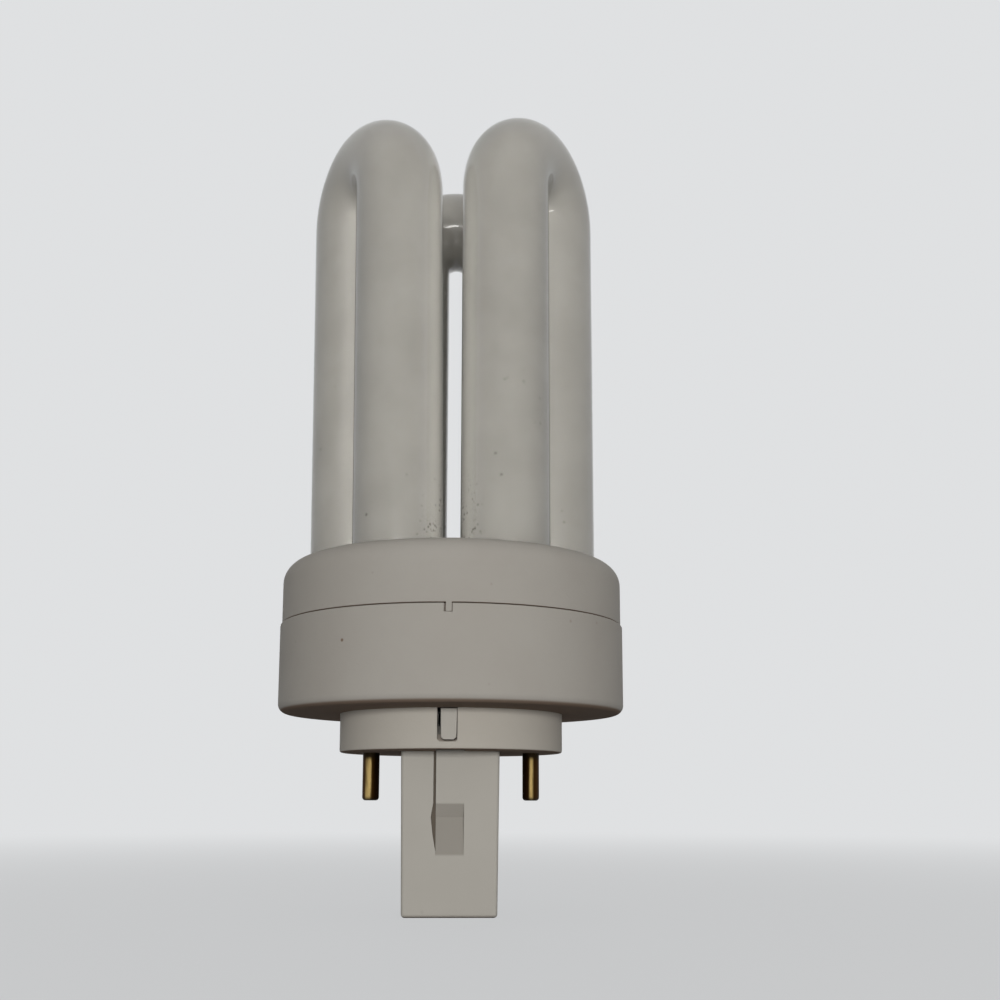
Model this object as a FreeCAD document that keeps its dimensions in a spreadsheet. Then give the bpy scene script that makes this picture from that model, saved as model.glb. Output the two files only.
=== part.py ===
"""A plug-in compact fluorescent bulb with three U tubes, in millimetres.

The origin is the centre of the boss's underside, the plane that seats on the lamp holder. +Z runs up
the bulb's axis to the tube tops, the post and the two pins reach down, and X runs through both pins.
The broad faces of the post look along -Y (the front) and +Y. The two electrode legs are at the front.
"""
import FreeCAD, Part
import math
import os
import re
import Sketcher

os.makedirs("parts", exist_ok=True)

SIZES = {
    # The glass tube: three U bends round the axis, joined by two short bridges.
    "tube_diameter": 12.42,
    "leg_gap": 2.31,
    "u_spread": 0.048,
    "tube_top": 92.95,
    "right_bend_rise": 0.9,
    "leg_end_radius": 2.0,
    "bridge_diameter": 6.0,
    "bridge_rise": 5.0,
    "pinch_width": 6.4,
    "pinch_thickness": 2.6,
    "pinch_length": 3.5,
    "pinch_gap": 0.4,
    "exhaust_tip_diameter": 3.0,
    "exhaust_tip_length": 2.0,
    # The collar that holds the tube.
    "collar_step": 0.25,
    "collar_height": 8.9,
    "collar_wall": 1.8,
    "collar_roof": 2.2,
    "shoulder_radius": 3.0,
    "socket_lift": 7.8,
    "socket_wall": 1.2,
    "socket_gap": 0.15,
    "socket_floor": 1.0,
    "socket_clearance": 0.7,
    "skirt_depth": 4.0,
    "skirt_wall": 1.4,
    "skirt_gap": 0.15,
    "bead_rise": 0.4,
    "bead_half_height": 0.6,
    "bead_drop": 3.0,
    "bead_gap": 0.1,
    "tab_width": 0.75,
    "tab_offset": -0.07,
    "tab_depth": 1.15,
    "tab_thickness": 0.6,
    "tab_wide_gap": 0.25,
    "tab_close_gap": 0.1,
    # The lower shell with its boss.
    "seam_height": 18.1,
    "base_wall": 1.8,
    "base_floor": 1.8,
    "underside_height": 5.48,
    "base_edge_radius": 1.2,
    "seam_gap": 0.24,
    "seam_groove_depth": 1.0,
    "boss_wall": 1.8,
    "boss_floor": 2.0,
    "boss_edge_radius": 0.3,
    # The hollow plug post and its snap catches.
    "post_width": 13.68,
    "post_depth": 14.4,
    "post_length": 22.5,
    "post_draft": 0.7,
    "post_wall": 1.5,
    "post_end_wall": 1.5,
    "post_corner_radius": 0.5,
    "post_gap": 0.2,
    "flange_width": 17.0,
    "flange_depth": 19.0,
    "flange_thickness": 1.4,
    "catch_width": 2.2,
    "catch_taper": 0.07,
    "catch_foot": 1.2,
    "catch_corner": 0.35,
    "catch_offset": -0.1,
    "catch_thickness": 1.6,
    "catch_wide_gap": 0.4,
    "catch_close_gap": 0.15,
    "catch_foot_gap": 0.35,
    "catch_head_gap": 0.1,
    "arm_slot_ledge": 0.4,
    "notch_width": 3.9,
    "notch_start": 7.06,
    "notch_valley": 9.0,
    "notch_shelf": 13.68,
    "notch_end": 14.6,
    "notch_depth": 1.0,
    "notch_shelf_depth": 0.3,
    "groove_width": 0.3,
    "groove_bulge": 0.6,
    "groove_depth": 0.6,
    # The two contact pins.
    "pin_spacing": 23.0,
    "pin_diameter": 2.4,
    "pin_length": 6.75,
    "pin_chamfer": 0.35,
    "pin_gap": 0.02,
    "pin_shank_diameter": 2.8,
    "pin_flange_diameter": 4.0,
    "pin_flange_thickness": 0.8,
    "pin_flange_clearance": 0.7,
    "pin_neck_diameter": 2.0,
    "pin_neck_height": 2.7,
    "pin_bore_diameter": 1.0,
    "pin_bore_depth": 2.2,
    # The starter bulb and its capacitor, in the post.
    "starter_diameter": 8.0,
    "starter_length": 13.0,
    "starter_gap": 0.1,
    "starter_round": 2.2,
    "starter_pinch_width": 5.2,
    "starter_pinch_thickness": 1.8,
    "starter_pinch_height": 2.4,
    "starter_lead_spacing": 3.8,
    "starter_lead_diameter": 0.5,
    "rib_width": 0.9,
    "rib_height": 11.0,
    "capacitor_diameter": 5.6,
    "capacitor_thickness": 2.2,
    "capacitor_rise": 0.4,
    "capacitor_offset": 2.5,
    "capacitor_lead_diameter": 0.5,
    # The wires from the electrodes.
    "lead_diameter": 0.6,
    "lead_spread": 3.2,
    "lead_rise": 1.6,
    "lead_bend_radius": 1.5,
    "joint_gap": 0.05,
}

doc = FreeCAD.newDocument("PlugInBulb")
sheet = doc.addObject("Spreadsheet::Sheet", "Sizes")
for row, (alias, value) in enumerate(SIZES.items(), start=1):
    sheet.set(f"A{row}", alias)
    sheet.set(f"B{row}", str(value))
    sheet.setAlias(f"B{row}", alias)
doc.recompute()

# Heights and radii that several pieces share. The six legs stand on a ring and the shell goes round
# them, and the boss goes round the flanges of the pins.
LEG_SPACING = "(tube_diameter + leg_gap)"
U_PLANE_OFFSET = f"({LEG_SPACING} * sqrt(3) / 2 + u_spread)"
LEG_RING_RADIUS = f"sqrt({U_PLANE_OFFSET} ^ 2 + ({LEG_SPACING} / 2) ^ 2)"
SOCKET_BORE_RADIUS = "(tube_diameter / 2 + socket_gap)"
BORE_RADIUS = f"({LEG_RING_RADIUS} + {SOCKET_BORE_RADIUS} + socket_wall + socket_clearance)"
BASE_RADIUS = f"({BORE_RADIUS} + base_wall)"
COLLAR_RADIUS = f"({BASE_RADIUS} - collar_step)"
COLLAR_TOP = "(seam_height + collar_height)"
SKIRT_RADIUS = f"({BORE_RADIUS} - skirt_gap)"
BEAD_HEIGHT = "(seam_height - bead_drop)"
BASE_FLOOR_TOP = "(underside_height + base_floor)"
LEG_FOOT = f"({BASE_FLOOR_TOP} + socket_lift)"
BOSS_BORE = "(pin_spacing / 2 + pin_flange_diameter / 2 + pin_flange_clearance)"
BOSS_RADIUS = f"({BOSS_BORE} + boss_wall)"
CATCH_LEFT = "(catch_offset - catch_width / 2)"
CATCH_RIGHT = "(catch_offset + catch_width / 2)"
PIN_NECK_TOP = "(boss_floor + pin_flange_thickness + pin_neck_height)"
STARTER_SEAT = "(post_end_wall + starter_gap - post_length)"
STARTER_TOP = f"({STARTER_SEAT} + starter_length)"
STARTER_LEAD_TOP = "(boss_floor + flange_thickness)"
U_NAMES = ("back", "left", "right")
SIDES = {"left": -1, "right": 1}


def sized(formula):
    """Return the formula with each size name pointed at the sheet."""
    return re.sub(r"[a-z][a-z_]+", lambda m: f"Sizes.{m[0]}" if m[0] in SIZES else m[0], str(formula))


def number(formula):
    """Return the value of a formula of sizes."""
    return float(sheet.evalExpression(sized(formula)))


def bind(item, **formulas):
    """Bind properties of one object to formulas of sizes."""
    for name, formula in formulas.items():
        item.setExpression(name, sized(formula))


def place(item, x="0", y="0", z="0"):
    """Bind an object's position to formulas of sizes."""
    for axis, formula in zip("xyz", (x, y, z)):
        item.setExpression(f"Placement.Base.{axis}", sized(formula))


def u_angle(u_name):
    """Return the angle in degrees at which one U stands round the axis; the first is at the back."""
    return 90 + 360 * U_NAMES.index(u_name) / len(U_NAMES)


def leg_position(u_name, side):
    """Return the formulas of x and y of one leg; side -1 and 1 are the two legs of a U."""
    angle = u_angle(u_name)
    x = f"({U_PLANE_OFFSET} * cos({angle} deg) - {side} * {LEG_SPACING} / 2 * sin({angle} deg))"
    y = f"({U_PLANE_OFFSET} * sin({angle} deg) + {side} * {LEG_SPACING} / 2 * cos({angle} deg))"
    return x, y


LEGS = {(u_name, side): leg_position(u_name, side) for u_name in U_NAMES for side in (-1, 1)}
ELECTRODE_LEGS = {"left": LEGS["left", 1], "right": LEGS["right", -1]}
CLOSED_LEGS = [LEGS["left", -1], LEGS["right", 1], LEGS["back", -1], LEGS["back", 1]]


def primitive(kind, name, **formulas):
    """Add a Part primitive whose sizes are formulas."""
    item = doc.addObject(f"Part::{kind}", name)
    bind(item, **formulas)
    return item


def fuse(name, label, pieces):
    """Join overlapping primitives into one solid."""
    joined = doc.addObject("Part::MultiFuse", name)
    joined.Shapes = pieces
    joined.Refine = True
    joined.Label = label
    return joined


def new_body(name, label):
    """Add an empty body."""
    body = doc.addObject("PartDesign::Body", name)
    body.Label = label
    return body


def origin_plane(body, role):
    """Return one of a body's own origin planes."""
    return next(item for item in body.Origin.OriginFeatures if item.Role == role)


def new_sketch(body, name, role, lift):
    """Add a sketch on an origin plane, lifted along the plane's normal."""
    sketch = body.newObject("Sketcher::SketchObject", name)
    sketch.AttachmentSupport = [(origin_plane(body, role), "")]
    sketch.MapMode = "FlatFace"
    sketch.setExpression("AttachmentOffset.Base.z", sized(lift))
    return sketch


def hold(sketch, kind, element, point, formula):
    """Constrain one coordinate of a sketch point from the origin."""
    index = sketch.addConstraint(Sketcher.Constraint(kind, -1, 1, element, point, number(formula)))
    sketch.setExpression(f"Constraints[{index}]", sized(formula))


def outline(sketch, corners):
    """Draw a closed outline through corners, each held at its formulas of x and y."""
    points = [FreeCAD.Vector(number(x), number(y), 0) for x, y in corners]
    first = sketch.GeometryCount
    count = len(points)
    for i in range(count):
        sketch.addGeometry(Part.LineSegment(points[i], points[(i + 1) % count]), False)
    for i, (x, y) in enumerate(corners):
        follower = first + (i + 1) % count
        sketch.addConstraint(Sketcher.Constraint("Coincident", first + i, 2, follower, 1))
        hold(sketch, "DistanceX", first + i, 1, x)
        hold(sketch, "DistanceY", first + i, 1, y)


def rectangle(sketch, left, right, bottom, top):
    """Draw a rectangle between formulas."""
    outline(sketch, [(left, bottom), (right, bottom), (right, top), (left, top)])


def centred_rectangle(sketch, width, depth):
    """Draw a rectangle about the sketch's origin."""
    rectangle(sketch, f"-({width}) / 2", f"({width}) / 2", f"-({depth}) / 2", f"({depth}) / 2")


def circle(sketch, x, y, diameter):
    """Draw a circle held at formulas."""
    centre = FreeCAD.Vector(number(x), number(y), 0)
    shape = Part.Circle(centre, FreeCAD.Vector(0, 0, 1), number(diameter) / 2)
    element = sketch.addGeometry(shape, False)
    hold(sketch, "DistanceX", element, 3, x)
    hold(sketch, "DistanceY", element, 3, y)
    index = sketch.addConstraint(Sketcher.Constraint("Diameter", element, number(diameter)))
    sketch.setExpression(f"Constraints[{index}]", sized(diameter))


def feature(body, kind, name, sketch, **formulas):
    """Add a sketch-based feature to a body."""
    item = body.newObject(f"PartDesign::{kind}", name)
    item.Profile = sketch
    bind(item, **formulas)
    return item


def revolve(body, name, corners):
    """Turn a half section, given as radius and height, about the body's axis."""
    sketch = new_sketch(body, f"{name}Section", "XZ_Plane", "0")
    outline(sketch, corners)
    turned = body.newObject("PartDesign::Revolution", name)
    turned.Profile = sketch
    turned.ReferenceAxis = (sketch, ["V_Axis"])
    turned.Angle = 360
    return turned


def opposite(body, name, features):
    """Repeat features on the other side of the axis."""
    pattern = body.newObject("PartDesign::PolarPattern", name)
    pattern.Originals = features
    z_axis = next(item for item in body.Origin.OriginFeatures if item.Role == "Z_Axis")
    pattern.Axis = (z_axis, [""])
    pattern.Angle = 360
    pattern.Occurrences = 2
    body.Tip = pattern
    return pattern


def round_edges(body, name, base, chosen, radius):
    """Fillet the edges of a feature that pass a test."""
    doc.recompute()
    names = [f"Edge{i}" for i, edge in enumerate(base.Shape.Edges, start=1) if chosen(edge)]
    fillet = body.newObject("PartDesign::Fillet", name)
    fillet.Base = (base, names)
    bind(fillet, Radius=radius)
    return fillet


def is_ring(edge, radius, height):
    """Tell whether an edge is a circle about the axis at a radius and height."""
    if edge.Curve.TypeId != "Part::GeomCircle":
        return False
    same_radius = abs(edge.Curve.Radius - number(radius)) < 0.001
    return same_radius and abs(edge.Curve.Center.z - number(height)) < 0.001


def is_upright(edge):
    """Tell whether an edge is straight and runs mostly along Z."""
    if edge.Curve.TypeId != "Part::GeomLine":
        return False
    start, end = (vertex.Point for vertex in edge.Vertexes)
    return abs(start.z - end.z) > 0.95 * edge.Length


def make_discharge_tube():
    """Three U tubes, two bridges at the back, two pinched ends and four exhaust tips."""
    pieces = []
    bend_height = f"(tube_top - {LEG_SPACING} / 2 - tube_diameter / 2)"
    for u_name in U_NAMES:
        angle = u_angle(u_name)
        rise = "right_bend_rise" if u_name == "right" else "0"
        bend = primitive("Torus", f"Bend_{u_name}", Radius1=f"{LEG_SPACING} / 2", Radius2="tube_diameter / 2")
        bend.Angle3 = 180
        upright = FreeCAD.Rotation(FreeCAD.Vector(1, 0, 0), 90)
        bend.Placement.Rotation = FreeCAD.Rotation(FreeCAD.Vector(0, 0, 1), angle - 90).multiply(upright)
        place(bend, f"{U_PLANE_OFFSET} * cos({angle} deg)", f"{U_PLANE_OFFSET} * sin({angle} deg)",
              f"{bend_height} + {rise}")
        pieces.append(bend)
        for side in (-1, 1):
            x, y = LEGS[u_name, side]
            leg = primitive("Cylinder", f"Leg_{u_name}_{side + 1}", Radius="tube_diameter / 2",
                            Height=f"{bend_height} + {rise} - {LEG_FOOT}")
            place(leg, x, y, LEG_FOOT)
            doc.recompute()
            foot = next(i for i, edge in enumerate(leg.Shape.Edges, start=1)
                        if is_foot_ring(edge, LEG_FOOT))
            rounded = doc.addObject("Part::Fillet", f"Rounded_{leg.Name}")
            rounded.Base = leg
            radius = number("leg_end_radius")
            rounded.Edges = [(foot, radius, radius)]
            pieces.append(rounded)
    for side_name in SIDES:
        pieces.append(make_bridge(side_name))
        x, y = ELECTRODE_LEGS[side_name]
        pinch = primitive("Box", f"Pinch_{side_name}", Length="pinch_width", Width="pinch_thickness",
                          Height="pinch_length + leg_end_radius")
        place(pinch, f"{x} - pinch_width / 2", f"{y} - pinch_thickness / 2",
              f"{LEG_FOOT} - pinch_length")
        pieces.append(pinch)
    for i, (x, y) in enumerate(CLOSED_LEGS):
        tip = primitive("Cylinder", f"ExhaustTip_{i}", Radius="exhaust_tip_diameter / 2",
                        Height="exhaust_tip_length + leg_end_radius")
        place(tip, x, y, f"{LEG_FOOT} - exhaust_tip_length")
        pieces.append(tip)
    return fuse("DischargeTube", "discharge_tube", pieces)


def is_foot_ring(edge, height):
    """Tell whether an edge is a circle at a height."""
    if edge.Curve.TypeId != "Part::GeomCircle":
        return False
    return abs(edge.Curve.Center.z - number(height)) < 0.001


def make_bridge(side_name):
    """One glass bridge between a side leg and the back leg beside it."""
    side = SIDES[side_name]
    start = [number(value) for value in LEGS[side_name, side]]
    end = [number(value) for value in LEGS["back", -side]]
    height = number(f"{COLLAR_TOP} + bridge_rise")
    first = FreeCAD.Vector(start[0], start[1], height)
    second = FreeCAD.Vector(end[0], end[1], height)
    run = second - first
    bridge = doc.addObject("Part::Feature", f"Bridge_{side_name}")
    bridge.Shape = Part.makeCylinder(number("bridge_diameter / 2"), run.Length, first, run)
    return bridge


def make_tube_holder():
    """The collar: a cap with a snap skirt, six sockets for the legs and a locating tab."""
    body = new_body("TubeHolder", "tube_holder")
    inner_radius = f"{COLLAR_RADIUS} - collar_wall"
    roof_underside = f"{COLLAR_TOP} - collar_roof"
    skirt_foot = "seam_height - skirt_depth"
    cap = revolve(body, "Cap", [
        (COLLAR_RADIUS, "seam_height"),
        (COLLAR_RADIUS, COLLAR_TOP),
        ("0", COLLAR_TOP),
        ("0", roof_underside),
        (inner_radius, roof_underside),
        (inner_radius, "seam_height + skirt_wall"),
        (f"{SKIRT_RADIUS} - skirt_wall", "seam_height"),
        (f"{SKIRT_RADIUS} - skirt_wall", skirt_foot),
        (SKIRT_RADIUS, skirt_foot),
        (SKIRT_RADIUS, f"{BEAD_HEIGHT} - bead_half_height"),
        (f"{SKIRT_RADIUS} + bead_rise", BEAD_HEIGHT),
        (SKIRT_RADIUS, f"{BEAD_HEIGHT} + bead_half_height"),
        (SKIRT_RADIUS, "seam_height"),
    ])
    round_edges(body, "Shoulder", cap, lambda edge: is_ring(edge, COLLAR_RADIUS, COLLAR_TOP),
                "shoulder_radius")
    tab = new_sketch(body, "TabOutline", "XZ_Plane", f"{COLLAR_RADIUS} - tab_thickness")
    rectangle(tab, "tab_offset - tab_width / 2", "tab_offset + tab_width / 2",
              "seam_height - tab_depth", "seam_height + tab_depth")
    feature(body, "Pad", "Tab", tab, Length="tab_thickness - tab_close_gap")
    add_leg_cylinders(body, "Socket", "AdditiveCylinder", f"{SOCKET_BORE_RADIUS} + socket_wall",
                      f"{LEG_FOOT} - socket_floor", f"{COLLAR_TOP} - collar_roof / 2")
    add_leg_cylinders(body, "Bore", "SubtractiveCylinder", SOCKET_BORE_RADIUS,
                      LEG_FOOT, f"{COLLAR_TOP} + socket_floor")
    add_leg_cylinders(body, "Hole", "SubtractiveCylinder", "pinch_width / 2 + pinch_gap",
                      f"{LEG_FOOT} - 2 * socket_floor", f"{LEG_FOOT} + socket_floor")
    return body


def add_leg_cylinders(body, name, kind, radius, bottom, top):
    """Add or cut one cylinder at each of the six legs."""
    for i, (x, y) in enumerate(LEGS.values()):
        cylinder = body.newObject(f"PartDesign::{kind}", f"{name}{i}")
        bind(cylinder, Radius=radius, Height=f"({top}) - ({bottom})")
        place(cylinder, x, y, bottom)
        body.Tip = cylinder


def make_base_housing():
    """The lower shell: a shallow cup on a round boss, open for the post, pins and catches."""
    body = new_body("BaseHousing", "base_housing")
    groove_radius = f"{BASE_RADIUS} - seam_groove_depth"
    snap_half_height = "bead_half_height + bead_gap"
    shell = revolve(body, "Shell", [
        ("0", "0"),
        (BOSS_RADIUS, "0"),
        (BOSS_RADIUS, "underside_height"),
        (BASE_RADIUS, "underside_height"),
        (BASE_RADIUS, "seam_height - seam_gap"),
        (groove_radius, "seam_height - seam_gap"),
        (groove_radius, "seam_height"),
        (BORE_RADIUS, "seam_height"),
        (BORE_RADIUS, f"{BEAD_HEIGHT} + {snap_half_height}"),
        (f"{SKIRT_RADIUS} + bead_rise + bead_gap", BEAD_HEIGHT),
        (BORE_RADIUS, f"{BEAD_HEIGHT} - {snap_half_height}"),
        (BORE_RADIUS, BASE_FLOOR_TOP),
        (BOSS_BORE, BASE_FLOOR_TOP),
        (BOSS_BORE, "boss_floor"),
        ("0", "boss_floor"),
    ])
    rounded = round_edges(body, "LowerEdge", shell,
                          lambda edge: is_ring(edge, BASE_RADIUS, "underside_height"),
                          "base_edge_radius")
    round_edges(body, "BossEdge", rounded, lambda edge: is_ring(edge, BOSS_RADIUS, "0"),
                "boss_edge_radius")
    opening = new_sketch(body, "PostOpening", "XY_Plane", "boss_floor")
    centred_rectangle(opening, "post_width + 2 * post_gap", "post_depth + 2 * post_gap")
    for side in SIDES.values():
        circle(opening, f"{side} * pin_spacing / 2", "0", "pin_shank_diameter + 2 * pin_gap")
    feature(body, "Pocket", "FloorOpenings", opening, Length="2 * boss_floor")
    slot = new_sketch(body, "ArmSlot", "XY_Plane", "boss_floor")
    rectangle(slot, "-notch_width / 2", "notch_width / 2", f"arm_slot_ledge - {BOSS_BORE}", "-post_depth / 2")
    slot_cut = feature(body, "Pocket", "SlotCut", slot, Length="2 * boss_floor")
    window = new_sketch(body, "CatchWindow", "XZ_Plane", f"{BOSS_RADIUS} + catch_foot_gap")
    outline(window, [
        (f"{CATCH_LEFT} - catch_wide_gap + catch_corner", "catch_foot - catch_foot_gap"),
        (f"{CATCH_RIGHT} + catch_close_gap - catch_corner", "catch_foot - catch_foot_gap"),
        (f"{CATCH_RIGHT} + catch_close_gap", "catch_foot - catch_foot_gap + catch_corner"),
        (f"{CATCH_RIGHT} + catch_close_gap", "underside_height"),
        (f"{CATCH_LEFT} - catch_wide_gap", "underside_height"),
        (f"{CATCH_LEFT} - catch_wide_gap", "catch_foot - catch_foot_gap + catch_corner"),
    ])
    window_cut = feature(body, "Pocket", "Window", window, Length="boss_wall + 2 * catch_foot_gap")
    opposite(body, "CatchOpenings", [slot_cut, window_cut])
    notch = new_sketch(body, "TabNotch", "XZ_Plane", f"{BASE_RADIUS} + tab_wide_gap")
    rectangle(notch, "tab_offset - tab_width / 2 - tab_wide_gap",
              "tab_offset + tab_width / 2 + tab_close_gap",
              "seam_height - tab_depth - tab_close_gap", "seam_height")
    feature(body, "Pocket", "Notch", notch, Length="seam_groove_depth + tab_wide_gap + tab_close_gap")
    return body


def make_starter_post():
    """The plug post: a drafted box, closed at its end, with a flange and two snap catches."""
    body = new_body("StarterPost", "starter_post")
    shank = new_sketch(body, "ShankOutline", "XY_Plane", "0")
    centred_rectangle(shank, "post_width", "post_depth")
    drafted = feature(body, "Pad", "DraftedShank", shank, Length="post_length", TaperAngle="-post_draft")
    drafted.Reversed = True
    round_edges(body, "ShankCorners", drafted, is_shank_edge, "post_corner_radius")
    neck = new_sketch(body, "NeckOutline", "XY_Plane", "0")
    centred_rectangle(neck, "post_width", "post_depth")
    feature(body, "Pad", "Neck", neck, Length="boss_floor")
    flange = new_sketch(body, "FlangeOutline", "XY_Plane", "boss_floor")
    centred_rectangle(flange, "flange_width", "flange_depth")
    feature(body, "Pad", "Flange", flange, Length="flange_thickness")
    cavity = new_sketch(body, "CavityOutline", "XY_Plane", "boss_floor + flange_thickness")
    centred_rectangle(cavity, "post_width - 2 * post_wall", "post_depth - 2 * post_wall")
    feature(body, "Pocket", "Cavity", cavity,
            Length="boss_floor + flange_thickness + post_length - post_end_wall",
            TaperAngle="-post_draft")
    add_starter_ribs(body)
    add_catches(body)
    cut_retention_notches(body)
    return body


def is_shank_edge(edge):
    """Tell whether an edge is an outer corner of the shank or lies round its end."""
    end = -number("post_length")
    return is_upright(edge) or all(abs(vertex.Z - end) < 0.001 for vertex in edge.Vertexes)


def add_starter_ribs(body):
    """Four ribs that centre the starter bulb in the post."""
    ribs = new_sketch(body, "RibOutlines", "XY_Plane", "post_end_wall / 2 - post_length")
    near = "(starter_diameter / 2 + starter_gap)"
    for side in SIDES.values():
        across = sorted([f"{side} * {near}", f"{side} * (post_width - 1.5 * post_wall) / 2"], key=number)
        along = sorted([f"{side} * {near}", f"{side} * (post_depth - 1.5 * post_wall) / 2"], key=number)
        rectangle(ribs, across[0], across[1], "-rib_width / 2", "rib_width / 2")
        rectangle(ribs, "-rib_width / 2", "rib_width / 2", along[0], along[1])
    feature(body, "Pad", "Ribs", ribs, Length="post_end_wall / 2 + rib_height")


def add_catches(body):
    """A spring arm and a catch head on the front and the back of the flange."""
    arm = new_sketch(body, "ArmOutline", "XY_Plane", "boss_floor")
    rectangle(arm, f"{CATCH_LEFT} + catch_taper", f"{CATCH_RIGHT} - catch_taper",
              f"catch_thickness / 2 - {BOSS_RADIUS}", "-flange_depth / 2 + flange_thickness")
    arm_pad = feature(body, "Pad", "CatchArm", arm, Length="flange_thickness")
    head = new_sketch(body, "HeadOutline", "XZ_Plane", f"{BOSS_RADIUS} - catch_thickness")
    outline(head, [
        (f"{CATCH_LEFT} + catch_taper + catch_corner", "catch_foot"),
        (f"{CATCH_RIGHT} - catch_taper - catch_corner", "catch_foot"),
        (f"{CATCH_RIGHT} - catch_taper", "catch_foot + catch_corner"),
        (CATCH_RIGHT, "underside_height - catch_head_gap"),
        (CATCH_LEFT, "underside_height - catch_head_gap"),
        (f"{CATCH_LEFT} + catch_taper", "catch_foot + catch_corner"),
    ])
    head_pad = feature(body, "Pad", "CatchHead", head, Length="catch_thickness")
    opposite(body, "Catches", [arm_pad, head_pad])


def cut_retention_notches(body):
    """The V notch that the lamp holder's spring drops into, and the groove beside it, on both faces."""
    face = "post_depth / 2"
    section = new_sketch(body, "NotchSection", "YZ_Plane", "0")
    outline(section, [
        (f"-{face} - notch_depth", "-notch_start"),
        (f"-{face}", "-notch_start"),
        (f"-{face} + notch_depth", "-notch_valley"),
        (f"-{face} + notch_shelf_depth", "-notch_shelf"),
        (f"-{face}", "-notch_end"),
        (f"-{face} - notch_depth", "-notch_end"),
    ])
    notch = feature(body, "Pocket", "RetentionNotch", section, Length="notch_width")
    notch.Midplane = True
    groove = new_sketch(body, "GrooveOutline", "XZ_Plane", face)
    outline(groove, [
        ("-notch_width / 2", "0"),
        ("-notch_width / 2 - groove_width", "0"),
        ("-notch_width / 2 - groove_width", "-notch_start"),
        ("-notch_width / 2 - groove_bulge", "-notch_valley"),
        ("-notch_width / 2", "-notch_shelf"),
    ])
    line = feature(body, "Pocket", "GrooveCut", groove, Length="groove_depth")
    opposite(body, "Notches", [notch, line])


def make_contact_pin(side_name):
    """A brass pin with a wider shank in the boss floor, a seating flange and a bored neck for its wire."""
    pin_radius = "pin_diameter / 2"
    body = new_body(f"ContactPin_{side_name}", f"contact_pin_{side_name}")
    revolve(body, "Pin", [
        ("0", "-pin_length"),
        (f"{pin_radius} - pin_chamfer", "-pin_length"),
        (pin_radius, "-pin_length + pin_chamfer"),
        (pin_radius, "0"),
        ("pin_shank_diameter / 2", "0"),
        ("pin_shank_diameter / 2", "boss_floor"),
        ("pin_flange_diameter / 2", "boss_floor"),
        ("pin_flange_diameter / 2", "boss_floor + pin_flange_thickness"),
        ("pin_neck_diameter / 2", "boss_floor + pin_flange_thickness"),
        ("pin_neck_diameter / 2", PIN_NECK_TOP),
        ("pin_bore_diameter / 2", PIN_NECK_TOP),
        ("pin_bore_diameter / 2", f"{PIN_NECK_TOP} - pin_bore_depth"),
        ("0", f"{PIN_NECK_TOP} - pin_bore_depth"),
    ])
    place(body, f"{SIDES[side_name]} * pin_spacing / 2")
    return body


def make_glow_starter():
    """The sealed starter bulb, standing in the post, with its pinch and two stiff leads."""
    body = new_body("GlowStarter", "glow_starter")
    bulb = revolve(body, "Bulb", [
        ("0", STARTER_SEAT),
        ("starter_diameter / 2", STARTER_SEAT),
        ("starter_diameter / 2", STARTER_TOP),
        ("0", STARTER_TOP),
    ])
    radius = "starter_diameter / 2"
    round_edges(body, "BulbEnds", bulb, lambda edge: is_ring(edge, radius, STARTER_SEAT)
                or is_ring(edge, radius, STARTER_TOP), "starter_round")
    pinch = new_sketch(body, "PinchOutline", "XY_Plane", f"{STARTER_TOP} - starter_gap")
    centred_rectangle(pinch, "starter_pinch_width", "starter_pinch_thickness")
    feature(body, "Pad", "Pinch", pinch, Length="starter_pinch_height + starter_gap")
    leads = new_sketch(body, "LeadOutlines", "XY_Plane", STARTER_TOP)
    for side in SIDES.values():
        circle(leads, f"{side} * starter_lead_spacing / 2", "0", "starter_lead_diameter")
    feature(body, "Pad", "Leads", leads, Length=f"{STARTER_LEAD_TOP} - {STARTER_TOP}")
    return body


def make_capacitor():
    """The disc capacitor beside the starter's leads, with a short lead to each."""
    height = f"({STARTER_TOP} + capacitor_rise + capacitor_diameter / 2)"
    disc = primitive("Cylinder", "CapacitorDisc", Radius="capacitor_diameter / 2",
                     Height="capacitor_thickness")
    disc.Placement.Rotation = FreeCAD.Rotation(FreeCAD.Vector(1, 0, 0), 90)
    place(disc, "0", "capacitor_thickness / 2 - capacitor_offset", height)
    pieces = [disc]
    for side_name, side in SIDES.items():
        lead = primitive("Cylinder", f"CapacitorLead_{side_name}", Radius="capacitor_lead_diameter / 2",
                         Height="capacitor_offset - starter_lead_diameter / 2 - joint_gap")
        lead.Placement.Rotation = FreeCAD.Rotation(FreeCAD.Vector(1, 0, 0), 90)
        place(lead, f"{side} * starter_lead_spacing / 2", "-starter_lead_diameter / 2 - joint_gap", height)
        pieces.append(lead)
    return fuse("Capacitor", "capacitor", pieces)


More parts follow.
